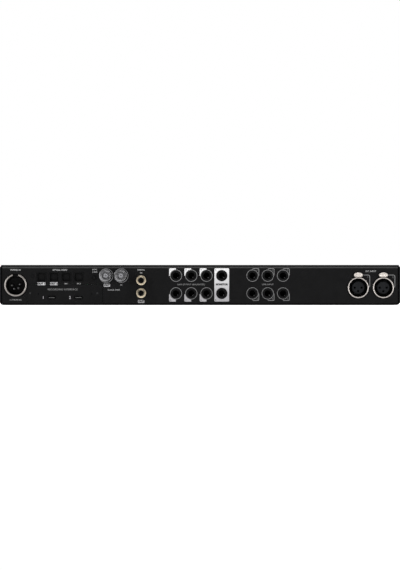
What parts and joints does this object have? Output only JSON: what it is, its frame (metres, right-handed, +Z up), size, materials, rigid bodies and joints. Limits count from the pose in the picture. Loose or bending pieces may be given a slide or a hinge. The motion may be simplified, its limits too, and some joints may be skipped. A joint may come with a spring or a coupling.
{
  "type": "rack mount audio interface",
  "caption": "Flat rack-mount audio interface: folded steel case behind a wide front panel, connectors along the back, knobs, buttons and meters in front.",
  "frame": {"origin": "middle of the underside of the chassis, on the surface it stands on", "axes": "+X across the width, on the left seen from the connector side; +Y towards the connector side; +Z up"},
  "size_m": [0.4826, 0.3343, 0.0436],
  "materials": {
    "black_paint": "fine textured powder coat",
    "front_anodised": "dark anodised",
    "circuit_board": "solder mask",
    "bare_aluminium": "extruded",
    "grey_cable": "matt",
    "black_plastic": "satin",
    "gloss_black_plastic": "gloss",
    "nickel": "satin nickel plate",
    "gold_plate": "pale gold plate",
    "knob_metal": "turned and anodised",
    "lit_plastic": "translucent white",
    "smoked_acrylic": "smoked, polished"
  },
  "bodies": {
    "chassis": {"chassis_tray": "black_paint", "top_cover": "black_paint", "rear_panel": "black_paint", "io_card_plate": "black_paint", "front_panel": "front_anodised", "analog_board": "circuit_board", "digital_board": "circuit_board", "connector_board": "circuit_board", "io_card": "circuit_board", "power_board": "circuit_board", "front_board": "circuit_board", "dsp_heatsink": "bare_aluminium", "ribbon_cable": "grey_cable", "output_jacks_1": "black_plastic", "output_jacks_2": "black_plastic", "output_jacks_3": "black_plastic", "monitor_jacks": "black_plastic", "line_input_jacks_1": "black_plastic", "line_input_jacks_2": "black_plastic", "line_input_jacks_3": "black_plastic", "mic_input_shell_1": "nickel", "mic_input_body_1": "black_plastic", "mic_input_shell_2": "nickel", "mic_input_body_2": "black_plastic", "optical_port_1": "black_plastic", "optical_port_2": "black_plastic", "optical_port_3": "black_plastic", "optical_port_4": "black_plastic", "power_inlet_shell": "nickel", "power_inlet_pins": "nickel", "power_inlet_body": "black_plastic", "clock_output_jack": "nickel", "clock_input_jack": "nickel", "coax_input_jack": "gold_plate", "coax_output_jack": "gold_plate", "instrument_jack_1": "black_plastic", "instrument_jack_2": "black_plastic", "phones_jack_1": "black_plastic", "phones_jack_2": "black_plastic", "meter_window": "smoked_acrylic"},
    "input_plunger": {"input_plunger": "black_plastic"},
    "input_knob": {"input_knob": "knob_metal"},
    "monitor_plunger": {"monitor_plunger": "black_plastic"},
    "monitor_knob": {"monitor_knob": "knob_metal"},
    "phones_knob_1": {"phones_knob_1": "knob_metal"},
    "phones_knob_2": {"phones_knob_2": "knob_metal"},
    "button_1": {"button_1": "lit_plastic"},
    "button_2": {"button_2": "lit_plastic"},
    "button_3": {"button_3": "lit_plastic"},
    "button_4": {"button_4": "lit_plastic"},
    "button_5": {"button_5": "lit_plastic"},
    "button_6": {"button_6": "lit_plastic"},
    "power_rocker": {"power_rocker": "gloss_black_plastic"},
    "termination_button": {"termination_button": "black_plastic"},
    "mic_latch_1": {"mic_latch_1": "nickel"},
    "mic_latch_2": {"mic_latch_2": "nickel"},
    "optical_shutter_1": {"optical_shutter_1": "black_plastic"},
    "optical_shutter_2": {"optical_shutter_2": "black_plastic"},
    "optical_shutter_3": {"optical_shutter_3": "black_plastic"},
    "optical_shutter_4": {"optical_shutter_4": "black_plastic"}
  },
  "joints": [
    {"name": "input_push", "type": "slide", "parent": "chassis", "child": "input_plunger", "axis": [0, 1, 0], "range_m": [0, 0.0005], "stiffness_N_per_m": 2000, "springref_m": -0.0005},
    {"name": "input_turn", "type": "hinge", "parent": "input_plunger", "child": "input_knob", "pos_m": [-0.134, -0.1553, 0.0218], "axis": [0, 1, 0], "continuous": true},
    {"name": "monitor_push", "type": "slide", "parent": "chassis", "child": "monitor_plunger", "axis": [0, 1, 0], "range_m": [0, 0.0005], "stiffness_N_per_m": 2000, "springref_m": -0.0005},
    {"name": "monitor_turn", "type": "hinge", "parent": "monitor_plunger", "child": "monitor_knob", "pos_m": [0.092, -0.1553, 0.0218], "axis": [0, 1, 0], "continuous": true},
    {"name": "phones_1_turn", "type": "hinge", "parent": "chassis", "child": "phones_knob_1", "pos_m": [0.147, -0.1553, 0.0312], "axis": [0, 1, 0], "range_deg": [-150, 150]},
    {"name": "phones_2_turn", "type": "hinge", "parent": "chassis", "child": "phones_knob_2", "pos_m": [0.171, -0.1553, 0.0312], "axis": [0, 1, 0], "range_deg": [-150, 150]},
    {"name": "button_1_press", "type": "slide", "parent": "chassis", "child": "button_1", "axis": [0, 1, 0], "range_m": [0, 0.0008], "stiffness_N_per_m": 1500, "springref_m": -0.0004},
    {"name": "button_2_press", "type": "slide", "parent": "chassis", "child": "button_2", "axis": [0, 1, 0], "range_m": [0, 0.0008], "stiffness_N_per_m": 1500, "springref_m": -0.0004},
    {"name": "button_3_press", "type": "slide", "parent": "chassis", "child": "button_3", "axis": [0, 1, 0], "range_m": [0, 0.0008], "stiffness_N_per_m": 1500, "springref_m": -0.0004},
    {"name": "button_4_press", "type": "slide", "parent": "chassis", "child": "button_4", "axis": [0, 1, 0], "range_m": [0, 0.0008], "stiffness_N_per_m": 1500, "springref_m": -0.0004},
    {"name": "button_5_press", "type": "slide", "parent": "chassis", "child": "button_5", "axis": [0, 1, 0], "range_m": [0, 0.0008], "stiffness_N_per_m": 1500, "springref_m": -0.0004},
    {"name": "button_6_press", "type": "slide", "parent": "chassis", "child": "button_6", "axis": [0, 1, 0], "range_m": [0, 0.0008], "stiffness_N_per_m": 1500, "springref_m": -0.0004},
    {"name": "power_rock", "type": "hinge", "parent": "chassis", "child": "power_rocker", "pos_m": [0.199, -0.1528, 0.0218], "axis": [1, 0, 0], "range_deg": [0, 18]},
    {"name": "termination_press", "type": "slide", "parent": "chassis", "child": "termination_button", "axis": [0, -1, 0], "range_m": [0, 0.0012], "stiffness_N_per_m": 500, "springref_m": -0.0004},
    {"name": "mic_1_release", "type": "slide", "parent": "chassis", "child": "mic_latch_1", "axis": [0, -1, 0], "range_m": [0, 0.0015], "stiffness_N_per_m": 1200, "springref_m": -0.0005},
    {"name": "mic_2_release", "type": "slide", "parent": "chassis", "child": "mic_latch_2", "axis": [0, -1, 0], "range_m": [0, 0.0015], "stiffness_N_per_m": 1200, "springref_m": -0.0005},
    {"name": "optical_1_open", "type": "hinge", "parent": "chassis", "child": "optical_shutter_1", "pos_m": [0.1719, 0.1466, 0.0338], "axis": [-1, 0, 0], "range_deg": [0, 80], "stiffness_Nm_per_rad": 0.0001, "springref_deg": -17.19},
    {"name": "optical_2_open", "type": "hinge", "parent": "chassis", "child": "optical_shutter_2", "pos_m": [0.1584, 0.1466, 0.0338], "axis": [-1, 0, 0], "range_deg": [0, 80], "stiffness_Nm_per_rad": 0.0001, "springref_deg": -17.19},
    {"name": "optical_3_open", "type": "hinge", "parent": "chassis", "child": "optical_shutter_3", "pos_m": [0.1449, 0.1466, 0.0338], "axis": [-1, 0, 0], "range_deg": [0, 80], "stiffness_Nm_per_rad": 0.0001, "springref_deg": -17.19},
    {"name": "optical_4_open", "type": "hinge", "parent": "chassis", "child": "optical_shutter_4", "pos_m": [0.1314, 0.1466, 0.0338], "axis": [-1, 0, 0], "range_deg": [0, 80], "stiffness_Nm_per_rad": 0.0001, "springref_deg": -17.19}
  ]
}
